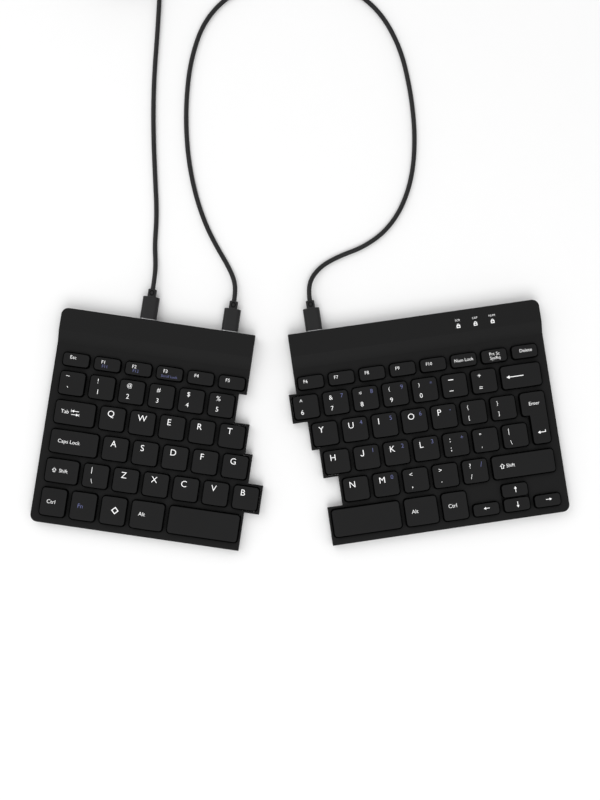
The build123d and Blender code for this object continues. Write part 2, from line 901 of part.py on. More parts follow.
def build_tie():
    """Strap round the coil's turns at their far side."""
    inner = coil_inner_radius + turn_pitch / 4 - cord_diameter / 2
    outer = coil_inner_radius + (half_turns_a_layer - 0.5) * turn_pitch / 2 + cord_diameter / 2
    tall = (coil_layers - 1) * layer_pitch + cord_diameter + 2 * tie_clearance
    wide = outer - inner + 2 * tie_clearance
    middle_y = coil_y + (inner + outer) / 2
    middle_z = tie_thickness + tall / 2
    with BuildPart() as tie:
        with BuildSketch(Plane(origin=(coil_x, middle_y, middle_z), x_dir=(0, 1, 0), z_dir=(1, 0, 0))):
            RectangleRounded(wide + 2 * tie_thickness, tall + 2 * tie_thickness, tie_corner + tie_thickness)
            RectangleRounded(wide, tall, tie_corner, mode=Mode.SUBTRACT)
        extrude(amount=tie_width / 2, both=True)
    return tie


def build_usb_a_plug():
    """Large flat plug at the far end of the computer cable, lying beside the coil."""
    end = coil_ends()[-1] + Vector(0, coil_lead, 0)
    start = Plane(origin=end, x_dir=(-1, 0, 0), z_dir=(0, 1, 0))
    body_start = start.offset(usb_a_relief_length)
    shell_start = body_start.offset(usb_a_length)
    inner_width = shell_width - 2 * shell_wall
    inner_height = shell_height - 2 * shell_wall
    with BuildPart() as plug:
        with BuildSketch(start):
            Circle(usb_a_relief_end_radius)
        with BuildSketch(body_start):
            Circle(usb_a_relief_radius)
        loft()
        with BuildSketch(body_start):
            RectangleRounded(usb_a_width, usb_a_height, usb_a_corner)
        extrude(amount=usb_a_length)
        with BuildSketch(shell_start):
            Rectangle(shell_width, shell_height)
        extrude(amount=shell_length)
        with BuildSketch(shell_start.offset(shell_wall)):
            Rectangle(inner_width, inner_height)
            with Locations((0, (inner_height - shell_tongue_thickness) / 2)):
                Rectangle(inner_width, shell_tongue_thickness, mode=Mode.SUBTRACT)
        extrude(amount=shell_length, mode=Mode.SUBTRACT)
    return plug


usb_a_axis_height = usb_a_height / 2 + touch_clearance
left_corner = (left_corner_x, left_corner_y, 0)
right_corner = (right_corner_x, right_corner_y, 0)
left_ports = (computer_port_inset, left_link_port_inset)
left_half = make_half("left", left_corner, 1, left_key_shares, left_function_pitch, left_ports)
right_ports = (right_link_port_inset,)
right_half = make_half("right", right_corner, -1, right_key_shares, right_function_pitch, right_ports)

# Cases, mechanism and electronics of each half
for half in (left_half, right_half):
    finish(build_top_case(half), f"{half.side}_top_case")
    finish(build_bottom_case(half), f"{half.side}_bottom_case")
    finish(build_feet(half), f"{half.side}_feet")
    finish(build_screws(half), f"{half.side}_screws")
    finish(build_back_plate(half), f"{half.side}_back_plate")
    finish(build_membrane(half), f"{half.side}_membrane")
    finish(build_dome_sheet(half), f"{half.side}_dome_sheet")
    finish(build_scissor_links(half), f"{half.side}_scissor_links")
    finish(build_stabilizer_wires(half), f"{half.side}_stabilizer_wires")
    finish(build_circuit_board(half), f"{half.side}_circuit_board")
    finish(build_sockets(half), f"{half.side}_usb_sockets")
    for key, places in half.caps.items():
        finish(build_caps(half, places), key)
finish(build_indicator_lights(right_half), "indicator_lights")

# Plugs in the rear edges
finish(build_plug(left_half, computer_port_inset), "computer_plug")
finish(build_plug(left_half, left_link_port_inset), "left_link_plug")
finish(build_plug(right_half, right_link_port_inset), "right_link_plug")

# Computer cable: free stretch, coil, tie and the plug at its far end
coil_start = coil_ends()[0] - Vector(0, coil_lead, 0)
computer_points = exit_points(left_half, computer_port_inset)
computer_points += [Vector(*point) for point in computer_cable_route]
computer_points.append(coil_start)
finish(build_cord("computer cable", computer_points), "computer_cable")
finish(build_coil(), "computer_cable_coil")
finish(build_tie(), "cable_tie")
finish(build_usb_a_plug(), "computer_usb_a_plug")

# Link cable between the halves
link_points = exit_points(left_half, left_link_port_inset)
link_points += [Vector(*point) for point in link_cable_route]
link_points += reversed(exit_points(right_half, right_link_port_inset))
finish(build_cord("link cable", link_points), "link_cable")
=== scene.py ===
from collections import namedtuple
from math import asin, cos, pi, radians, sin, sqrt, tan

import bpy
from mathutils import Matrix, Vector


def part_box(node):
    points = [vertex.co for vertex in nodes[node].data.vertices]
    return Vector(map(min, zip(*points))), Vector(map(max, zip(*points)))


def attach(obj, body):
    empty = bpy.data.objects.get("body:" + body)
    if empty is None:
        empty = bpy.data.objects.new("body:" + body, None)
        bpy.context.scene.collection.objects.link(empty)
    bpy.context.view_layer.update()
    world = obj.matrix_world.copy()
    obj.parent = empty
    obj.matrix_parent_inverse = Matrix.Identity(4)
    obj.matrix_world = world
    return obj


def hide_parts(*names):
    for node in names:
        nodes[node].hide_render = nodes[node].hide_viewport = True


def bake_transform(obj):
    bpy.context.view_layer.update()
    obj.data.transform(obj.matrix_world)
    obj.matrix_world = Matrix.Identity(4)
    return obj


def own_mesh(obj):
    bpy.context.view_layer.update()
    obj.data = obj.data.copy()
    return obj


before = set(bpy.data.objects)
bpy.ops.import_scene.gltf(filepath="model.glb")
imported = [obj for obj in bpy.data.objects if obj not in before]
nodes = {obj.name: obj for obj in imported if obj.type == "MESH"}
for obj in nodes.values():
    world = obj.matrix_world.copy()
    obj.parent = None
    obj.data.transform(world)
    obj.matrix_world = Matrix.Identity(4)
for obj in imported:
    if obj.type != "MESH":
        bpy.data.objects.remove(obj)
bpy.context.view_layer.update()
MM = 0.001

# ---- camera: almost straight down, tipped a little as the picture's spread of the outer edges shows

CAMERA_HEIGHT = 721.0
CAMERA_PITCH, CAMERA_YAW = radians(3.22), radians(0.875)
AIM_X, AIM_Y = -0.18, 15.75
FOCAL_PIXELS, PICTURE_PIXELS = 1128.8, 800
camera_data = bpy.data.cameras.new("camera")
camera_data.sensor_fit = "VERTICAL"
camera_data.sensor_height = 36
camera_data.lens = camera_data.sensor_height * FOCAL_PIXELS / PICTURE_PIXELS
camera_data.clip_start = 0.05
camera = bpy.data.objects.new("camera", camera_data)
camera.location = Vector((AIM_X - CAMERA_HEIGHT * tan(CAMERA_YAW), AIM_Y - CAMERA_HEIGHT * tan(CAMERA_PITCH),
                          CAMERA_HEIGHT)) * MM
camera.rotation_euler = (CAMERA_PITCH, -CAMERA_YAW, 0)
bpy.context.scene.collection.objects.link(camera)
bpy.context.scene.camera = camera
bpy.context.scene.view_settings.view_transform = "Standard"

# ---- layout of the two halves, in millimetres

SPLAY = radians(8.3)
Half = namedtuple("Half", "body corner inward legend_shift function_pitch rows")
KEY_PITCH = 19.0
arrow = 19.6 / KEY_PITCH
left = Half("left_half", (-150.6, 74.0), 1, (0.6, 0.3), 19.85, (
    (("escape_key", 1.0, 1), ("left_function_keys", 1.0, 5)),
    (("left_number_keys", 1.0, 6),),
    (("tab_key", 1.5, 1), ("left_upper_keys", 1.0, 5)),
    (("caps_lock_key", 1.75, 1), ("left_home_keys", 1.0, 5)),
    (("left_shift_key", 1.25, 1), ("left_lower_keys", 1.0, 6)),
    (("left_control_key", 1.0, 1), ("function_shift_key", 1.0, 1), ("system_key", 1.0, 1),
     ("left_alt_key", 1.25, 1), ("left_space_key", 2.5, 1)),
))
right = Half("right_half", (151.2, 79.9), -1, (0, 0), 19.6, (
    (("right_function_keys", 1.0, 8),),
    (("backspace_key", 1.5, 1), ("right_number_keys", 1.0, 7)),
    (("enter_key", 1.0, 1), ("right_upper_keys", 1.0, 7)),
    (("enter_key", 0.75, 1), ("right_home_keys", 1.0, 7)),
    (("right_shift_key", 2.25, 1), ("right_lower_keys", 1.0, 5)),
    (("arrow_right_key", arrow, 1), ("arrow_up_key", arrow, 1), ("arrow_left_key", arrow, 1),
     ("right_control_key", 1.0, 1), ("right_alt_key", 1.25, 1), ("right_space_key", 2.42, 1)),
))
ROW_TOPS = (27.2, 39.0, 57.5, 76.0, 94.5, 113.0)
ROW_DEPTHS = (9.5, 16.0, 16.0, 16.0, 16.0, 18.7)
HALF_DEPTH = 136.0
COLUMN_WEB, FUNCTION_WEB, SIDE_BORDER, WALL = 1.7, 1.9, 4.8, 1.2
CAP_TOP, CAP_DISH, CAP_GAP, CAP_UNDERSIDE, SHEET_TOP = 9.3, 0.22, 0.55, 8.1, 3.3
ARROW_GAP = 0.35


def place(half, x, y, z):
    """World point in metres of a half's own point in millimetres: x along the rear edge, y to the rear."""
    turn = half.inward * SPLAY
    return Vector((half.corner[0] + x * cos(turn) + y * sin(turn),
                   half.corner[1] - x * sin(turn) + y * cos(turn), z)) * MM


def grid(half, row):
    """Key pitch of a row and the width of the bars between its wells."""
    return (half.function_pitch, FUNCTION_WEB) if row == 0 else (KEY_PITCH, COLUMN_WEB)


def lay_caps(half):
    """Wells by key, laid from the outer side inwards, as (x, y, width, depth)."""
    caps = {}
    for row, keys in enumerate(half.rows):
        pitch, web = grid(half, row)
        side = SIDE_BORDER
        for name, share, count in keys:
            width = share * pitch - web
            for _ in range(count):
                x, y = half.inward * (side + width / 2), -ROW_TOPS[row] - ROW_DEPTHS[row] / 2
                caps.setdefault(name, []).append((x, y, width, ROW_DEPTHS[row]))
                side += share * pitch
    return caps


def narrow_enter(key, width):
    """Whether this well is the lower, narrower part of the upright Enter key."""
    return key == "enter_key" and width < 15


left_caps = lay_caps(left)
right_caps = lay_caps(right)
x, y, width, depth = right_caps["arrow_up_key"][0]
half_well = (depth - 2 * ARROW_GAP) / 2
for name in ("arrow_left_key", "arrow_right_key"):
    cx, cy, w, d = right_caps[name][0]
    right_caps[name] = [(cx, cy - d / 2 + half_well / 2, w, half_well)]
right_caps["arrow_up_key"] = [(x, y + depth / 4, width, depth / 2)]
right_caps["arrow_down_key"] = [(x, y - depth / 4, width, depth / 2)]

# ---- cords

CORD = 3.0
COMPUTER_PORT, LEFT_PORT, RIGHT_PORT = 54.2, 106.5, 143.8
PLUG_REACH, RELIEF_LENGTH, RELIEF_HEIGHT = 20.0, 5.0, 4.4
FIRST_RUN = 6.5
PORT_HEIGHT = 5.2
computer_route = (
    (-92.6, 102.0, 2.7), (-93.5, 115.0, 1.6), (-92.2, 135.0, 1.6), (-93.6, 160.0, 1.6),
    (-95.0, 190.0, 1.6), (-94.9, 222.0, 1.6), (-92.7, 254.0, 1.9), (-91.25, 281.0, 2.5),
)
link_route = (
    (-42.4, 93.0, 2.8), (-46.8, 102.6, 1.6), (-53.6, 114.0, 1.6), (-61.2, 129.0, 1.6),
    (-68.2, 150.0, 1.6), (-73.0, 176.0, 1.6), (-74.2, 206.0, 1.6), (-71.2, 237.0, 1.6),
    (-61.5, 265.0, 1.6), (-40.0, 284.5, 1.6), (-9.0, 292.5, 1.6), (24.0, 289.5, 1.6),
    (49.5, 273.0, 1.6), (64.5, 247.5, 1.6), (71.5, 218.0, 1.6), (74.5, 188.5, 1.6),
    (72.8, 162.0, 1.6), (66.0, 140.5, 1.6), (55.0, 124.5, 1.6), (40.5, 114.2, 1.6),
    (25.5, 108.6, 1.6), (13.8, 102.2, 1.9), (7.0, 94.0, 3.4),
)
COIL_X, COIL_Y, COIL_INNER, COIL_STEP, LAYER = -114.0, 308.0, 12.5, 2.05, 3.6
HALF_TURNS, LAYERS, EXIT_RADIUS, LEAD = 5, 4, 13.0, 3.0
FULLNESS = 1.006
USB_AXIS = 3.85


def exits(half, inset):
    """Where a cord leaves its plug, and the end of its first straight run."""
    x = half.inward * inset
    return [place(half, x, PLUG_REACH, PORT_HEIGHT), place(half, x, PLUG_REACH + FIRST_RUN, PORT_HEIGHT)]


def coil_points():
    """Points round the put-away coil: half turns that grow and shrink steadily, a layer at a time."""
    radius, height, side = COIL_INNER + HALF_TURNS * COIL_STEP, 1.0 + CORD / 2, 1
    ends = [Vector((COIL_X + radius, COIL_Y, height))]
    for layer in range(LAYERS):
        for _ in range(HALF_TURNS):
            radius += COIL_STEP if layer % 2 else -COIL_STEP
            side = -side
            ends.append(Vector((COIL_X + side * radius, COIL_Y, height)))
        if layer < LAYERS - 1:
            height += LAYER
            side = -side
            ends.append(Vector((COIL_X + side * radius, COIL_Y, height)))
    drop = height - USB_AXIS
    ends.append(ends[-1] - Vector((sqrt(4 * EXIT_RADIUS**2 - drop**2), 0, drop)))
    points = [ends[0] - Vector((0, LEAD, 0)), ends[0]]
    steps = 10
    for number, (start, end) in enumerate(zip(ends, ends[1:])):
        middle = (start + end) / 2
        arm = start - middle
        across = Vector((0, arm.length * (-1 if number % 2 else 1), 0))
        for step in range(1, steps):
            angle = pi * step / steps
            points.append(middle + (arm * cos(angle) + across * sin(angle)) * FULLNESS)
        points.append(end)
    points.append(ends[-1] + Vector((0, LEAD, 0)))
    return [point * MM for point in points]


def spline(name, points):
    """A smooth curve with these control points."""
    data = bpy.data.curves.new(name, "CURVE")
    data.dimensions = "3D"
    data.resolution_u = 8
    line = data.splines.new("NURBS")
    line.points.add(len(points) - 1)
    for control, point in zip(line.points, points):
        control.co = (*point, 1)
    line.order_u = 3
    line.use_endpoint_u = True
    curve = bpy.data.objects.new(name, data)
    bpy.context.scene.collection.objects.link(curve)
    return curve


def evaluated_mesh(thing):
    """Mesh of a curve or text object as Blender evaluates it."""
    return bpy.data.meshes.new_from_object(thing.evaluated_get(bpy.context.evaluated_depsgraph_get()))


def tube(name, points, radius, sides=20):
    """Mesh tube round the curve with these control points, and the points that it follows."""
    guide = spline(name + "_guide", points)
    bpy.context.view_layer.update()
    mesh = evaluated_mesh(guide)
    path = [vertex.co.copy() for vertex in mesh.vertices]
    guide.data.bevel_depth = radius
    guide.data.bevel_resolution = sides // 4
    guide.data.use_fill_caps = True
    bpy.context.view_layer.update()
    solid = bpy.data.objects.new(name, evaluated_mesh(guide))
    bpy.context.scene.collection.objects.link(solid)
    bpy.data.objects.remove(guide)
    for polygon in solid.data.polygons:
        polygon.use_smooth = True
    return solid, path


computer_points = exits(left, COMPUTER_PORT) + [Vector(p) * MM for p in computer_route] + coil_points()
computer_cord, computer_path = tube("computer_cord", computer_points, CORD / 2 * MM)
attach(computer_cord, "left_half")
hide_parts("computer_cable", "computer_cable_coil")

link_points = exits(left, LEFT_PORT) + [Vector(p) * MM for p in link_route] + exits(right, RIGHT_PORT)[::-1]
link_cord, link_path = tube("link_cord", link_points, CORD / 2 * MM)
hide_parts("link_cable")
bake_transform(link_cord)

# ---- materials


# Painted sheen: a lighter colour for what stands higher, and the heights over which it comes in
RaisedSheen = namedtuple("RaisedSheen", "color low high")
EDGE_REACH, CREVICE_SHADE_REACH, GRAIN_DEPTH = 0.6 * MM, 4 * MM, 0.05 * MM
FINE_DETAIL, BROAD_DETAIL, BROAD_SCALE, ROUGHNESS_REACH = 3, 5, 60, 0.06
WEAR_AND_HIGHLIGHT_RANGE, AO_SHADE_RANGE, UPRIGHT = (0.995, 0.88), (0.9, 0.6), (0.85, 0.6)


def ranged(tree, value, low, high):
    """Output that climbs from 0 to 1 while the value goes from low to high."""
    node = tree.nodes.new("ShaderNodeMapRange")
    node.inputs["From Min"].default_value = low
    node.inputs["From Max"].default_value = high
    tree.links.new(value, node.inputs["Value"])
    return node.outputs["Result"]


def spread(tree, value, middle, reach):
    """Output that runs from reach under the middle to reach over it while the value goes from 0 to 1."""
    node = tree.nodes.new("ShaderNodeMapRange")
    node.inputs["To Min"].default_value = middle - reach
    node.inputs["To Max"].default_value = middle + reach
    tree.links.new(value, node.inputs["Value"])
    return node.outputs["Result"]


def mixed(tree, share, colour, other):
    """The colour mixed towards the other by the share."""
    node = tree.nodes.new("ShaderNodeMix")
    node.data_type = "RGBA"
    node.inputs["B"].default_value = (*other, 1)
    tree.links.new(share, node.inputs["Factor"])
    tree.links.new(colour, node.inputs["A"])
    return node.outputs["Result"]


def upward(tree, vector):
    """The Z part of a vector."""
    node = tree.nodes.new("ShaderNodeSeparateXYZ")
    tree.links.new(vector, node.inputs["Vector"])
    return node.outputs["Z"]


def sharpness(tree):
    """How far the rounded normal turns from the true one, as a dot product."""
    edge = tree.nodes.new("ShaderNodeBevel")
    edge.samples = 6
    edge.inputs["Radius"].default_value = EDGE_REACH
    geometry = tree.nodes.new("ShaderNodeNewGeometry")
    turn = tree.nodes.new("ShaderNodeVectorMath")
    turn.operation = "DOT_PRODUCT"
    tree.links.new(edge.outputs["Normal"], turn.inputs[0])
    tree.links.new(geometry.outputs["Normal"], turn.inputs[1])
    return turn.outputs["Value"]


def noise(tree, vector, scale, detail):
    """Noise texture on these coordinates."""
    node = tree.nodes.new("ShaderNodeTexNoise")
    node.inputs["Scale"].default_value = scale
    node.inputs["Detail"].default_value = detail
    tree.links.new(vector, node.inputs["Vector"])
    return node.outputs["Fac"]


def material(name, color, roughness, metallic=0.0, grain=0.0, grain_scale=3000.0, mottle=0.06, coat=0.0,
             wear_and_highlight=None, flank_shade=None, raised_sheen=None, crevice_shade=None, gloss=0.5, stretch=(1, 1, 1)):
    """Principled material with a fine grain and slight mottling.

    If asked, it has edges lighter where rubbed and by a painted highlight, painted shade on steep sides, a
    painted sheen on what stands higher and painted shade in crevices.
    """
    made = bpy.data.materials.new(name)
    made.use_nodes = True
    tree = made.node_tree
    shader = tree.nodes["Principled BSDF"]
    shader.inputs["Metallic"].default_value = metallic
    shader.inputs["Coat Weight"].default_value = coat
    shader.inputs["Specular IOR Level"].default_value = gloss
    places = tree.nodes.new("ShaderNodeTexCoord").outputs["Object"]
    mapping = tree.nodes.new("ShaderNodeMapping")
    mapping.inputs["Scale"].default_value = stretch
    tree.links.new(places, mapping.inputs["Vector"])
    fine = noise(tree, mapping.outputs["Vector"], grain_scale, FINE_DETAIL)
    broad = noise(tree, mapping.outputs["Vector"], BROAD_SCALE, BROAD_DETAIL)
    tint = tree.nodes.new("ShaderNodeVectorMath")
    tint.operation = "SCALE"
    tint.inputs[0].default_value = color
    tree.links.new(spread(tree, broad, 1, mottle), tint.inputs["Scale"])
    colour = tint.outputs["Vector"]
    # Painted sheen: the surface above deck height, the rear bar, is coloured lighter
    if raised_sheen:
        colour = mixed(tree, ranged(tree, upward(tree, places), raised_sheen.low, raised_sheen.high), colour, raised_sheen.color)
    # Edges lighter: partly rubbing on the real thing, partly a painted highlight where rounded edges catch
    # light
    if wear_and_highlight:
        colour = mixed(tree, ranged(tree, sharpness(tree), *WEAR_AND_HIGHLIGHT_RANGE), colour, wear_and_highlight)
    # Painted shade: the colour goes towards near black where ambient occlusion finds surfaces close by, as
    # between the caps
    if crevice_shade:
        openness = tree.nodes.new("ShaderNodeAmbientOcclusion")
        openness.samples = 8
        openness.inputs["Distance"].default_value = CREVICE_SHADE_REACH
        colour = mixed(tree, ranged(tree, openness.outputs["AO"], *AO_SHADE_RANGE), colour, crevice_shade)
    # Painted shade: side walls that face sideways go towards near black, as if shaded in their wells
    if flank_shade:
        facing = tree.nodes.new("ShaderNodeNewGeometry")
        colour = mixed(tree, ranged(tree, upward(tree, facing.outputs["Normal"]), *UPRIGHT), colour, flank_shade)
    tree.links.new(colour, shader.inputs["Base Color"])
    tree.links.new(spread(tree, fine, roughness, ROUGHNESS_REACH), shader.inputs["Roughness"])
    bump = tree.nodes.new("ShaderNodeBump")
    bump.inputs["Strength"].default_value = grain
    bump.inputs["Distance"].default_value = GRAIN_DEPTH
    tree.links.new(fine, bump.inputs["Height"])
    tree.links.new(bump.outputs["Normal"], shader.inputs["Normal"])
    return made


def part_metal(name, plastic, metal, axis, limit):
    """Plug material: the moulded body up to the limit along the axis, in metres, and its metal end beyond."""
    made = plastic.copy()
    made.name = name
    tree = made.node_tree
    body = tree.nodes["Principled BSDF"]
    shell = tree.nodes.new("ShaderNodeBsdfPrincipled")
    shell.inputs["Base Color"].default_value = (*metal, 1)
    shell.inputs["Metallic"].default_value = 1
    shell.inputs["Roughness"].default_value = 0.28
    places = tree.nodes.new("ShaderNodeTexCoord")
    along = tree.nodes.new("ShaderNodeVectorMath")
    along.operation = "DOT_PRODUCT"
    along.inputs[1].default_value = axis
    tree.links.new(places.outputs["Object"], along.inputs[0])
    beyond = tree.nodes.new("ShaderNodeMath")
    beyond.operation = "GREATER_THAN"
    beyond.inputs[1].default_value = limit
    tree.links.new(along.outputs["Value"], beyond.inputs[0])
    mix = tree.nodes.new("ShaderNodeMixShader")
    tree.links.new(beyond.outputs["Value"], mix.inputs["Fac"])
    tree.links.new(body.outputs["BSDF"], mix.inputs[1])
    tree.links.new(shell.outputs["BSDF"], mix.inputs[2])
    tree.links.new(mix.outputs["Shader"], tree.nodes["Material Output"].inputs["Surface"])
    return made


case_plastic = material("case_plastic", (0.0112, 0.0112, 0.0113), 0.5, gloss=0.04, grain=0.35, grain_scale=2600,
                        # painted sheen on the rear bar above the deck
                        raised_sheen=RaisedSheen((0.0128, 0.0128, 0.0129), 7.4 * MM, 8.6 * MM),
                        # painted shade in the crevices between and around the caps
                        crevice_shade=(0.001, 0.001, 0.001),
                        # edges lighter where rubbed and by a painted highlight
                        wear_and_highlight=(0.02, 0.02, 0.0205))
cap_plastic = material("cap_plastic", (0.0125, 0.0125, 0.0127), 0.5, gloss=0.05, grain=0.3, grain_scale=3200,
                       # edges lighter where rubbed and by a painted highlight
                       # painted shade on the steep cap sides
                       flank_shade=(0.0008, 0.0008, 0.0008), wear_and_highlight=(0.02, 0.02, 0.0205))
foot_rubber = material("foot_rubber", (0.022, 0.022, 0.022), 0.8, grain=0.6, grain_scale=1800, mottle=0.12)
screw_steel = material("screw_steel", (0.4, 0.4, 0.41), 0.35, metallic=1, grain=0.3, grain_scale=1500,
                       mottle=0.15)
plate_steel = material("plate_steel", (0.6, 0.6, 0.61), 0.32, metallic=1, grain=0.4, grain_scale=900,
                       stretch=(0.05, 1, 1))
membrane_film = material("membrane_film", (0.66, 0.72, 0.7), 0.3, coat=0.3, grain=0.1, mottle=0.1)
dome_rubber = material("dome_rubber", (0.012, 0.012, 0.013), 0.6, gloss=0.2, grain=0.2, mottle=0.1)
link_plastic = material("link_plastic", (0.02, 0.02, 0.021), 0.5, gloss=0.25, grain=0.15, mottle=0.05)
wire_steel = material("wire_steel", (0.62, 0.62, 0.64), 0.2, metallic=1, grain=0.2, grain_scale=1200,
                      stretch=(0.1, 1, 1))
board_laminate = material("board_laminate", (0.015, 0.11, 0.045), 0.35, coat=0.4, grain=0.3,
                          grain_scale=900, mottle=0.25)
socket_steel = material("socket_steel", (0.55, 0.55, 0.56), 0.3, metallic=1, grain=0.2, grain_scale=1400)
light_lens = material("light_lens", (0.03, 0.032, 0.032), 0.25, coat=0.5, grain=0.1, mottle=0.1)
cable_sheath = material("cable_sheath", (0.0082, 0.0082, 0.0086), 0.42, gloss=0.25, grain=0.3, grain_scale=1600,
                        mottle=0.12)
plug_plastic = material("plug_plastic", (0.0082, 0.0082, 0.0086), 0.45, gloss=0.25, grain=0.4, grain_scale=2200,
                        # edges lighter where rubbed and by a painted highlight
                        wear_and_highlight=(0.04, 0.04, 0.042))
# Painted shade: near-black colour for the shade inside the relief slots
relief_slot_shade = material("relief_slot_shade", (0.001, 0.001, 0.001), 0.7, gloss=0.05, grain=0.2)
tie_plastic = material("tie_plastic", (0.03, 0.03, 0.031), 0.5, grain=0.6, grain_scale=1200,
                       stretch=(1, 0.2, 1))
ink_white = material("ink_white", (0.97, 0.97, 0.97), 0.6, grain=0.1, mottle=0.04)
ink_blue = material("ink_blue", (0.1, 0.112, 0.26), 0.6, grain=0.1, mottle=0.06)
metal = (0.6, 0.6, 0.61)
METAL_SHOWN = 0.65
USB_SHELL = 12 * MM
usb_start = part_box("computer_usb_a_plug")[1].y - USB_SHELL
usb_plastic = part_metal("usb_a_plug", plug_plastic, metal, (0, 1, 0), usb_start)

finishes = {
    "top_case": case_plastic, "bottom_case": case_plastic, "feet": foot_rubber, "screws": screw_steel,
    "back_plate": plate_steel, "membrane": membrane_film, "circuit_board": board_laminate,
    "usb_sockets": socket_steel,
}
painted = {}
for side in ("left", "right"):
    for piece, finish in finishes.items():
        painted[f"{side}_{piece}"] = finish
for name in list(left_caps) + list(right_caps):
    painted[name] = cap_plastic
painted["indicator_lights"] = light_lens
painted["cable_tie"] = tie_plastic
painted["computer_usb_a_plug"] = usb_plastic
for half, name in ((left, "computer_plug"), (left, "left_link_plug"), (right, "right_link_plug")):
    rear = place(half, 0, METAL_SHOWN, 0)
    inward = -(place(half, 0, 1, 0) - place(half, 0, 0, 0)).normalized()
    painted[name] = part_metal(name, plug_plastic, metal, inward, inward.dot(rear))
for name, finish in painted.items():
    nodes[name].data.materials.clear()
    nodes[name].data.materials.append(finish)
for cord in (computer_cord, link_cord):
    cord.data.materials.clear()
    cord.data.materials.append(cable_sheath)

# ---- pieces made in mesh code


def mesh_piece(name, verts, faces, finish, body, slot, indices=None, smooth=False):
    """A new piece in world metres, riding on a body."""
    data = bpy.data.meshes.new(name)
    data.from_pydata(verts, [], faces)
    for one in finish if isinstance(finish, list) else [finish]:
        data.materials.append(one)
    if indices:
        data.polygons.foreach_set("material_index", indices)
    for polygon in data.polygons:
        polygon.use_smooth = smooth
    data.update()
    made = bpy.data.objects.new(name, data)
    bpy.context.scene.collection.objects.link(made)
    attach(made, body)
    return made


glyphs = {}
STROKE_TRIM, CAPITALS = 0.006, 0.7


def glyph(text):
    """Flat mesh of a text: capitals one unit high, its box's middle at x 0 and the capitals' middle at y 0."""
    if text not in glyphs:
        data = bpy.data.curves.new("glyph", "FONT")
        data.body = text
        data.fill_mode = "FRONT"
        data.offset = -STROKE_TRIM
        data.resolution_u = 3
        thing = bpy.data.objects.new("glyph", data)
        bpy.context.scene.collection.objects.link(thing)
        bpy.context.view_layer.update()
        mesh = evaluated_mesh(thing)
        bpy.data.objects.remove(thing)
        verts = [vertex.co for vertex in mesh.vertices]
        middle = (min(v.x for v in verts) + max(v.x for v in verts)) / 2
        glyphs[text] = ([((v.x - middle) / CAPITALS, v.y / CAPITALS - 0.5) for v in verts],
                        [tuple(polygon.vertices) for polygon in mesh.polygons])
    return glyphs[text]


def outline_rings(loops):
    """Verts and faces of closed bands, each given as an outer and an inner loop of as many points."""
    verts, faces = [], []
    for outer, inner in loops:
        start, count = len(verts), len(outer)
        verts += list(outer) + list(inner)
        for n in range(count):
            following = (n + 1) % count
            faces.append((start + n, start + following, start + count + following, start + count + n))
    return verts, faces


def shift_arrow():
    """Outlined arrow that points to the rear."""
    def arrow_points(reach, stem, foot, head):
        return [(0, reach), (reach, head), (stem, head), (stem, foot), (-stem, foot), (-stem, head),
                (-reach, head)]
    return outline_rings([(arrow_points(0.62, 0.3, -0.55, 0.02), arrow_points(0.44, 0.18, -0.43, 0.13))])


def bar_arrow(length, towards):
    """Thin arrow to one side, length long for a head one unit high."""
    end = towards * length / 2
    head = end - towards * 0.75
    verts = [(-end, 0.09), (head, 0.09), (head, 0.42), (end, 0), (head, -0.42), (head, -0.09), (-end, -0.09)]
    return verts, [tuple(range(len(verts)))]


def tab_arrows():
    """Two thin arrows with stops, one each way."""
    verts, faces = [], []
    for towards, drop in ((-1, 0.55), (1, -0.55)):
        shape, cells = bar_arrow(2.3, towards)
        start = len(verts)
        verts += [(px, py + drop) for px, py in shape]
        faces += [tuple(start + n for n in cell) for cell in cells]
        start = len(verts)
        stop = towards * 1.27
        verts += [(stop + px, drop + py) for px, py in ((-0.07, -0.4), (0.07, -0.4), (0.07, 0.4), (-0.07, 0.4))]
        faces.append((start, start + 1, start + 2, start + 3))
    return verts, faces


def return_arrow():
    """Arrow that turns back to the left, as on the long key at the right."""
    verts = [(-1.5, 0), (-0.6, 0.55), (-0.6, 0.12), (1.1, 0.12), (1.1, 0.7), (1.35, 0.7), (1.35, -0.12),
             (-0.6, -0.12), (-0.6, -0.55)]
    return verts, [(0, 1, 2, 7, 8), (2, 3, 6, 7), (3, 4, 5, 6)]


def diamond():
    """Plain outlined diamond, a neutral mark for the system key."""
    return outline_rings([[[(0, reach), (reach, 0), (0, -reach), (-reach, 0)] for reach in (0.62, 0.42)]])


def hooked_j():
    """Capital J that stands on the line, with a broad hook."""
    reach, half_stroke, bend = 0.23, 0.066, 0.26
    verts = []
    for grow in (half_stroke, -half_stroke):
        wide, tall = reach + grow, bend - half_stroke + grow
        verts.append((wide, 0.5))
        verts += [(wide * cos(pi * step / 8), bend - 0.5 - tall * sin(pi * step / 8)) for step in range(9)]
    count = len(verts) // 2
    return verts, [(n, n + 1, count + n + 1, count + n) for n in range(count - 1)]


def dash():
    """Short level bar."""
    return [(-0.5, -0.08), (0.5, -0.08), (0.5, 0.08), (-0.5, 0.08)], [(0, 1, 2, 3)]


icons = {"<dash>": dash, "<shift>": shift_arrow, "<tab>": tab_arrows, "<return>": return_arrow,
         "<system>": diamond, "<long>": lambda: bar_arrow(4.2, -1), "<left>": lambda: bar_arrow(1.9, -1),
         "<right>": lambda: bar_arrow(1.9, 1)}


def upright(shape, towards):
    """The same arrow turned to point to the rear or to the front."""
    verts, faces = shape
    return [(-towards * py, towards * px) for px, py in verts], faces


glyphs["J"] = hooked_j()
icons["<up>"] = lambda: upright(bar_arrow(1.9, 1), 1)
icons["<down>"] = lambda: upright(bar_arrow(1.9, 1), -1)
WHITE, BLUE = 0, 1


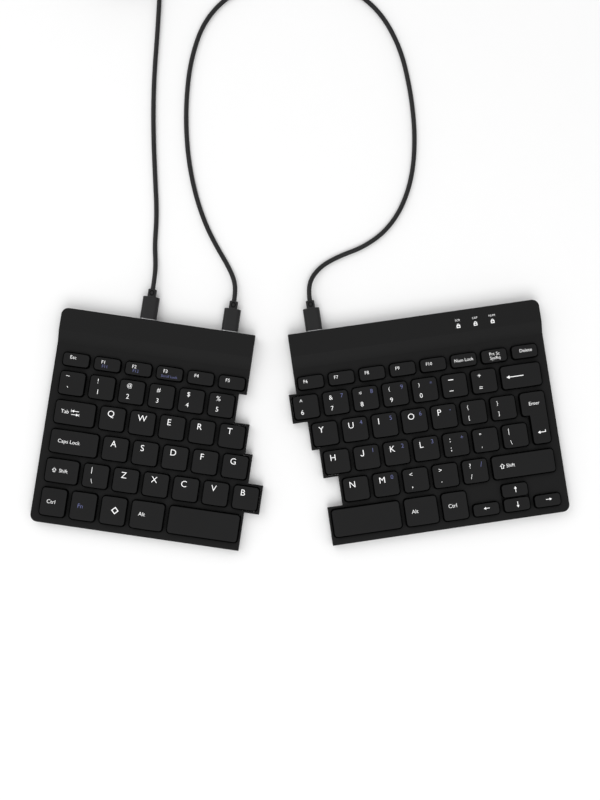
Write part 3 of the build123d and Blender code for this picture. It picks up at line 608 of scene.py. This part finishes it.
def letter(text):
    tall, left_edge = 3.9, 4.8
    return [(text, left_edge + tall * max(px for px, _ in glyph(text)[0]), 5.05, tall, WHITE)]


def pair(upper, lower, extra=None, size=3.0):
    marks = [(upper, 5.8, 4.3, size, WHITE), (lower, 5.8, 11.1, size, WHITE)]
    return marks + ([(extra, 12.9, 3.9, 2.6, BLUE)] if extra else [])


def brackets(upper, lower, size=2.3, lower_y=11.0):
    return [(upper, 5.2, 4.4, size, WHITE), (lower, 5.2, lower_y, size, WHITE)]


def numpad(text, extra):
    return letter(text) + [(extra, 12.9, 3.9, 2.6, BLUE)]


def function(text, extra=None):
    return [(text, 5.6, 3.8, 2.1, WHITE)] + ([(extra, 6.8, 6.4, 1.9, BLUE)] if extra else [])


legends = {
    "escape_key": [[("Esc", 6.4, 3.5, 2.2, WHITE)]],
    "left_function_keys": [function("F1", "F11"), function("F2", "F12"),
                           [("F3", 5.6, 3.8, 2.1, WHITE), ("Scroll Lock", 8.4, 6.9, 1.6, BLUE)], function("F4"),
                           function("F5")],
    "left_number_keys": [[("~", 4.8, 3.5, 3.0, WHITE), ("`", 5.5, 12.2, 4.2, WHITE)],
                         [("!", 5.1, 4.3, 3.0, WHITE), ("1", 5.8, 11.1, 3.0, WHITE)],
                         [("@", 6.2, 4.2, 2.4, WHITE), ("2", 5.9, 11.2, 3.0, WHITE)], pair("#", "3", size=2.8),
                         pair("$", "4", size=2.8), pair("%", "5")],
    "tab_key": [[("Tab", 6.4, 7.7, 2.3, WHITE), ("<tab>", 12.9, 8.0, 2.0, WHITE)]],
    "left_upper_keys": [letter(c) for c in "QWERT"],
    "caps_lock_key": [[("Caps Lock", 11.9, 7.9, 2.3, WHITE)]],
    "left_home_keys": [letter(c) for c in "ASDFG"],
    "left_shift_key": [[("<shift>", 5.5, 8.1, 2.4, WHITE), ("Shift", 11.3, 8.0, 2.2, WHITE)]],
    "left_lower_keys": [[("|", 5.1, 4.4, 3.2, WHITE), ("\\", 5.8, 11.6, 2.8, WHITE)],
                        *(letter(c) for c in "ZXCVB")],
    "left_control_key": [[("Ctrl", 6.6, 9.4, 2.4, WHITE)]],
    "function_shift_key": [[("Fn", 6.1, 9.5, 2.7, BLUE)]],
    "system_key": [[("<system>", 9.0, 9.3, 3.8, WHITE)]],
    "left_alt_key": [[("Alt", 6.9, 9.0, 2.4, WHITE)]],
    "right_function_keys": [[("Delete", 9.7, 4.0, 2.1, WHITE)],
                            [("Prt Sc", 9.3, 3.4, 2.0, WHITE), ("SysRq", 9.3, 6.0, 2.0, WHITE)],
                            [("Num Lock", 9.0, 4.5, 2.0, WHITE)], [("F10", 6.3, 3.9, 2.0, WHITE)],
                            function("F9"), function("F8"), function("F7"), function("F6")],
    "backspace_key": [[("<long>", 9.5, 7.8, 2.6, WHITE)]],
    "right_number_keys": [[("+", 6.0, 4.1, 3.2, WHITE), ("=", 6.0, 11.8, 3.2, WHITE)],
                          [("<dash>", 6.7, 4.2, 3.2, WHITE), ("<dash>", 6.2, 11.2, 2.5, WHITE)],
                          [(")", 5.2, 4.2, 2.3, WHITE), ("0", 5.7, 11.2, 2.9, WHITE),
                           ("*", 12.9, 4.6, 2.6, BLUE)],
                          [("(", 5.2, 4.2, 2.3, WHITE), ("9", 5.7, 11.3, 2.9, WHITE),
                           ("9", 13.2, 3.9, 2.6, BLUE)],
                          [("*", 5.8, 4.9, 3.2, WHITE), ("8", 5.8, 11.3, 2.9, WHITE),
                           ("8", 12.9, 3.9, 2.6, BLUE)],
                          pair("&", "7", "7", 2.8), pair("^", "6")],
    "right_upper_keys": [brackets("}", "]"), brackets("{", "["), numpad("P", "-"), numpad("O", "6"),
                         numpad("I", "5"), numpad("U", "4"), letter("Y")],
    "enter_key": [[("Enter", 9.4, 7.8, 2.2, WHITE)], [("<return>", 6.8, 8.1, 1.8, WHITE)]],
    "right_home_keys": [[("|", 4.8, 4.4, 3.1, WHITE), ("\\", 5.5, 11.7, 2.8, WHITE)],
                        [("\"", 5.7, 4.9, 3.0, WHITE), ("'", 5.7, 13.2, 2.6, WHITE)],
                        brackets(":", ";", 3.5, 10.1) + [("+", 12.9, 3.9, 2.7, BLUE)], numpad("L", "3"),
                        numpad("K", "2"), numpad("J", "1"), letter("H")],
    "right_shift_key": [[("<shift>", 7.0, 7.5, 2.7, WHITE), ("Shift", 12.3, 7.4, 2.2, WHITE)]],
    "right_lower_keys": [pair("?", "/") + [("/", 12.9, 4.1, 3.3, BLUE)],
                         [(">", 5.7, 4.2, 2.8, WHITE), (".", 5.7, 10.2, 3.4, WHITE)],
                         [("<", 6.0, 4.2, 2.8, WHITE), (",", 5.9, 10.6, 3.8, WHITE)],
                         numpad("M", "0"), letter("N")],
    "right_alt_key": [[("Alt", 6.9, 9.0, 2.4, WHITE)]],
    "right_control_key": [[("Ctrl", 7.2, 8.9, 2.4, WHITE)]],
    "arrow_left_key": [[("<left>", 9.2, 3.9, 2.0, WHITE)]],
    "arrow_right_key": [[("<right>", 9.8, 3.9, 2.0, WHITE)]],
    "arrow_up_key": [[("<up>", 9.5, 4.4, 2.0, WHITE)]],
    "arrow_down_key": [[("<down>", 9.5, 4.7, 2.0, WHITE)]],
}
INK = 0.02
WIDEST_DISHED = 32.0
CAP_SIDE, CAP_DRAFT, CAP_EDGE = 3.3, radians(5), 0.45


def top_of(dx, width):
    """Height of a cap's top at dx from its middle: a shallow trough on all but the widest caps."""
    cap_width = width - 2 * CAP_GAP
    if cap_width >= WIDEST_DISHED:
        return CAP_TOP
    chord = cap_width - 2 * (CAP_SIDE * sin(CAP_DRAFT) / cos(CAP_DRAFT) + CAP_EDGE)
    radius = (chord**2 / 4 + CAP_DISH**2) / (2 * CAP_DISH)
    return min(CAP_TOP, CAP_TOP - CAP_DISH + radius - sqrt(radius**2 - dx**2))


for half, caps in ((left, left_caps), (right, right_caps)):
    for key, wells in caps.items():
        verts, faces, indices = [], [], []
        for (x, y, width, depth), marks in zip(wells, legends.get(key, [])):
            for text, mx, my, height, ink in marks:
                shape, cells = icons[text]() if text in icons else glyph(text)
                start = len(verts)
                for px, py in shape:
                    dx = mx + half.legend_shift[0] - width / 2 + px * height
                    dy = depth / 2 - my + half.legend_shift[1] + py * height
                    level = CAP_TOP if narrow_enter(key, width) else top_of(dx, width)
                    verts.append(place(half, x + dx, y + dy, level + INK))
                faces += [tuple(start + n for n in cell) for cell in cells]
                indices += [ink] * len(cells)
        if verts:
            mesh_piece(key + "_legends", verts, faces, [ink_white, ink_blue], key, "cap_plastic", indices)

# Painted shade: flat near-black rings on the plugs' strain reliefs stand for the shade in ring-shaped slots
SLOT_WIDE, SLOT_LONG, SLOT_INNER = 1.55, 1.75, 0.62
for half, port, name in ((left, COMPUTER_PORT, "computer_plug"), (left, LEFT_PORT, "left_link_plug"),
                         (right, RIGHT_PORT, "right_link_plug")):
    loops = [[(grow * SLOT_WIDE * cos(pi * step / 10), grow * SLOT_LONG * sin(pi * step / 10))
              for step in range(20)] for grow in (1, SLOT_INNER)]
    verts, faces = outline_rings([loops])
    top = PORT_HEIGHT + RELIEF_HEIGHT / 2 + INK
    verts = [place(half, half.inward * port + px, PLUG_REACH - RELIEF_LENGTH / 2 + py, top) for px, py in verts]
    mesh_piece(name + "_slot", verts, faces, relief_slot_shade, half.body, "plug_plastic")

# Small words and padlocks over the three lights
LIGHT_INSET, LIGHT_PITCH, BAR_TOP = 31.0, 11.0, 10.0
WORD_Y, WORD_HEIGHT, PADLOCK_Y = -6.3, 1.3, -9.8
verts, faces = [], []
for n in range(3):
    x = -LIGHT_INSET - LIGHT_PITCH * n
    shape, cells = glyph(("NUM", "CAP", "SCR")[n])
    start = len(verts)
    verts += [place(right, x + px * WORD_HEIGHT, WORD_Y + py * WORD_HEIGHT, BAR_TOP + INK) for px, py in shape]
    faces += [tuple(start + c for c in cell) for cell in cells]
    frames = [[(-wide, bottom), (wide, bottom), (wide, top), (-wide, top)]
              for wide, bottom, top in ((1.15, -1.5, 0.2), (0.7, -1.05, -0.25))]
    bow = [[(radius * cos(pi * step / 8), 0.2 + tall * sin(pi * step / 8)) for step in range(9)]
           for radius, tall in ((0.85, 1.0), (0.5, 0.62))]
    body, cells = outline_rings([frames])
    start = len(verts)
    verts += [place(right, x + px, PADLOCK_Y + py, BAR_TOP + INK) for px, py in body + bow[0] + bow[1]]
    faces += [tuple(start + c for c in cell) for cell in cells]
    start += len(body)
    faces += [(start + c, start + c + 1, start + c + 10, start + c + 9) for c in range(8)]
mesh_piece("indicator_marks", verts, faces, ink_white, "right_half", "light_lens")

# ---- soft and folding pieces under the caps, gathered by key

TOUCH = 0.05
SHALLOW, WIRED_WIDTH = 12, 25
DOME, SMALL_DOME = (2.95, 1.45), (1.35, 0.85)
LINKS, SMALL_LINKS = (11.4, 0.9), (5.3, 0.5)
LINK_LENGTH, LINK_THICKNESS, LINK_CORNER, LINK_GAP = 10.6, 0.8, 0.35, 0.3
SKIN = 0.02
WIRE_INSET, WIRE_REAR, WIRE_ARM, WIRE_GAP = 4.0, 4.8, 4.2, 0.4
WIRE_BEND, WIRE_RADIUS = 1.2 * MM, 0.38 * MM
SHEET_INSET, SHEET_REAR, SHEET_UNDERSIDE = 2.52, 25.42, 3.02


def dome(half, x, y, radius, top_radius):
    """Rubber dome: a hollow bell with a foot ring and a rounded top."""
    high = CAP_UNDERSIDE - TOUCH - SKIN
    rise = high - SHEET_TOP
    outer = [(radius, 0.0), (radius * 0.97, 0.12), (radius * 0.9, 0.3), (top_radius * 1.1, 0.82),
             (top_radius, 0.93), (top_radius * 0.85, 1.0)]
    profile = [(r, SHEET_TOP + rise * share) for r, share in outer]
    profile += [(top_radius * 0.5, high - 0.25), (0.0, high - 0.3)]
    sides = 28
    verts, faces = [], []
    for r, z in profile[:-1]:
        verts += [place(half, x + r * cos(2 * pi * n / sides), y + r * sin(2 * pi * n / sides), z)
                  for n in range(sides)]
    verts.append(place(half, x, y, profile[-1][1]))
    for ring in range(len(profile) - 2):
        for n in range(sides):
            m = (n + 1) % sides
            faces.append((ring * sides + n, ring * sides + m, (ring + 1) * sides + m, (ring + 1) * sides + n))
    last = (len(profile) - 2) * sides
    faces += [(last + n, last + (n + 1) % sides, len(verts) - 1) for n in range(sides)]
    return verts, faces


def scissor(half, x, y, depth, bar):
    """Crossed link frames with rounded corners."""
    low, high = SHEET_TOP + TOUCH, CAP_UNDERSIDE - TOUCH
    tilt = asin((high - low - LINK_THICKNESS) / LINK_LENGTH)
    middle = (low + high) / 2
    verts, faces = [], []
    inner_depth = depth - 2 * bar - LINK_GAP
    ends = (0, LINK_CORNER), (LINK_CORNER, 0)
    for lean, frame_depth in ((1, depth), (-1, inner_depth)):
        loops = []
        for shrink in (0, bar):
            along, across = LINK_LENGTH / 2 - shrink - SKIN, frame_depth / 2 - shrink - SKIN
            loops.append([(sx * (along - cx), sy * (across - cy)) for sx, sy, pairs in (
                (1, 1, ends), (-1, 1, ends[::-1]), (-1, -1, ends), (1, -1, ends[::-1]),
            ) for cx, cy in pairs])
        start = len(verts)
        for level in (LINK_THICKNESS / 2 - SKIN, SKIN - LINK_THICKNESS / 2):
            for loop in loops:
                for u, v in loop:
                    px = u * cos(tilt) - lean * level * sin(tilt)
                    pz = lean * u * sin(tilt) + level * cos(tilt)
                    verts.append(place(half, x + px, y + v, middle + pz))
        count = len(loops[0])
        for n in range(count):
            m = (n + 1) % count
            a, b, c, d = start, start + count, start + 2 * count, start + 3 * count
            faces += [(a + n, a + m, b + m, b + n), (c + n, d + n, d + m, c + m),
                      (a + n, c + n, c + m, a + m), (b + n, b + m, d + m, d + n)]
    return verts, faces


def gather(shapes):
    """One mesh from several shapes."""
    verts, faces = [], []
    for more, cells in shapes:
        start = len(verts)
        verts += more
        faces += [tuple(start + n for n in cell) for cell in cells]
    return verts, faces


def reaches(half):
    """How far each row reaches in from the outer side."""
    far = []
    for row, keys in enumerate(half.rows):
        pitch, web = grid(half, row)
        far.append(SIDE_BORDER + sum(share * count for _, share, count in keys) * pitch - web + WALL)
    return far


def sheet_outline(half, inset, rear):
    """Stepped outline of the rubber sheet."""
    far = reaches(half)
    points = [(inset, -rear), (far[0] - inset, -rear)]
    for row in range(1, 6):
        if far[row] > far[row - 1]:
            step = ROW_TOPS[row] - WALL + inset
        else:
            step = ROW_TOPS[row - 1] + ROW_DEPTHS[row - 1] + WALL - inset
        points += [(far[row - 1] - inset, -step), (far[row] - inset, -step)]
    points += [(far[-1] - inset, inset - HALF_DEPTH), (inset, inset - HALF_DEPTH)]
    return [(half.inward * px, py) for px, py in points]


first = {}
for half, caps in ((left, left_caps), (right, right_caps)):
    side = half.body.split("_")[0]
    border = sheet_outline(half, SHEET_INSET, SHEET_REAR)
    verts = [place(half, px, py, z) for z in (SHEET_UNDERSIDE, SHEET_TOP - 0.01) for px, py in border]
    count = len(border)
    faces = [tuple(range(count))[::-1], tuple(range(count, 2 * count))]
    faces += [(n, (n + 1) % count, count + (n + 1) % count, count + n) for n in range(count)]
    film = mesh_piece(side + "_rubber_sheet", verts, faces, dome_rubber, half.body, "dome_rubber")
    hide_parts(side + "_dome_sheet")
    for key, wells in caps.items():
        domes, links, wires = [], [], []
        for x, y, width, depth in wells:
            cap_depth, cap_width = depth - 2 * CAP_GAP, width - 2 * CAP_GAP
            if key == "arrow_up_key" or key == "arrow_down_key":
                cap_depth = depth - CAP_GAP - ARROW_GAP
                y += (CAP_GAP - ARROW_GAP) / 2 * (-1 if key == "arrow_up_key" else 1)
            if narrow_enter(key, width):
                continue
            full = cap_depth > SHALLOW and cap_width < WIRED_WIDTH
            domes.append(dome(half, x, y, *(DOME if full else SMALL_DOME)))
            links.append(scissor(half, x, y, *(LINKS if full else SMALL_LINKS)))
            if cap_width > WIRED_WIDTH:
                reach, rear_y = cap_width / 2 - WIRE_INSET, y + WIRE_REAR
                low, high = SHEET_TOP + TOUCH + WIRE_GAP, CAP_UNDERSIDE - TOUCH - WIRE_GAP
                front_y = rear_y - WIRE_ARM
                corners = [place(half, x + sx * reach, py, z) for sx, py, z in
                           ((-1, front_y, low), (-1, rear_y, high), (1, rear_y, high), (1, front_y, low))]
                bent = []
                for before, corner, after in zip(corners, corners[1:], corners[2:]):
                    bent += [corner + (before - corner).normalized() * WIRE_BEND, corner,
                             corner + (after - corner).normalized() * WIRE_BEND]
                wire, _ = tube(key + "_wire", [corners[0]] + bent + [corners[-1]], WIRE_RADIUS, 12)
                wires.append(wire)
        for label, shapes, finish, slot, node in (
            ("domes", domes, dome_rubber, "dome_rubber", None),
            ("links", links, link_plastic, "link_plastic", side + "_scissor_links"),
        ):
            if shapes:
                piece = mesh_piece(f"{key}_{label}", *gather(shapes), finish, half.body, slot,
                                   smooth=label == "domes")
                if node and node not in first:
                    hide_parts(node)
                    first[node] = True
                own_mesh(piece)
        for wire in wires:
            wire.data.materials.clear()
            wire.data.materials.append(wire_steel)
            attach(wire, half.body)
            node = side + "_stabilizer_wires"
            if node not in first:
                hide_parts(node)
                first[node] = True
            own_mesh(wire)

# ---- floor, light

floor_mesh = bpy.data.meshes.new("floor")
FLOOR_REACH = 15
floor_corners = [(sx * FLOOR_REACH, sy * FLOOR_REACH, 0) for sx, sy in ((-1, -1), (1, -1), (1, 1), (-1, 1))]
floor_mesh.from_pydata(floor_corners, [], [(0, 1, 2, 3)])
floor = bpy.data.objects.new("floor", floor_mesh)
bpy.context.scene.collection.objects.link(floor)
floor_mesh.materials.append(material("paper", (0.86, 0.86, 0.86), 0.9, mottle=0.005))

world = bpy.data.worlds.new("world")
bpy.context.scene.world = world
world.use_nodes = True
world.node_tree.nodes["Background"].inputs["Color"].default_value = (1, 1, 1, 1)
world.node_tree.nodes["Background"].inputs["Strength"].default_value = 0.75


def soft_light(name, spot, size, power):
    """Large square light that faces the middle of the keyboard."""
    data = bpy.data.lights.new(name, "AREA")
    data.size = size
    data.energy = power
    lamp = bpy.data.objects.new(name, data)
    lamp.location = spot
    lamp.rotation_euler = (-Vector(spot)).to_track_quat("-Z", "Y").to_euler()
    bpy.context.scene.collection.objects.link(lamp)


soft_light("key_light", (0.05, -1.0, 1.5), 1.2, 14)
soft_light("fill_light", (-0.9, 0.8, 1.4), 1.2, 6.5)

bpy.context.view_layer.update()
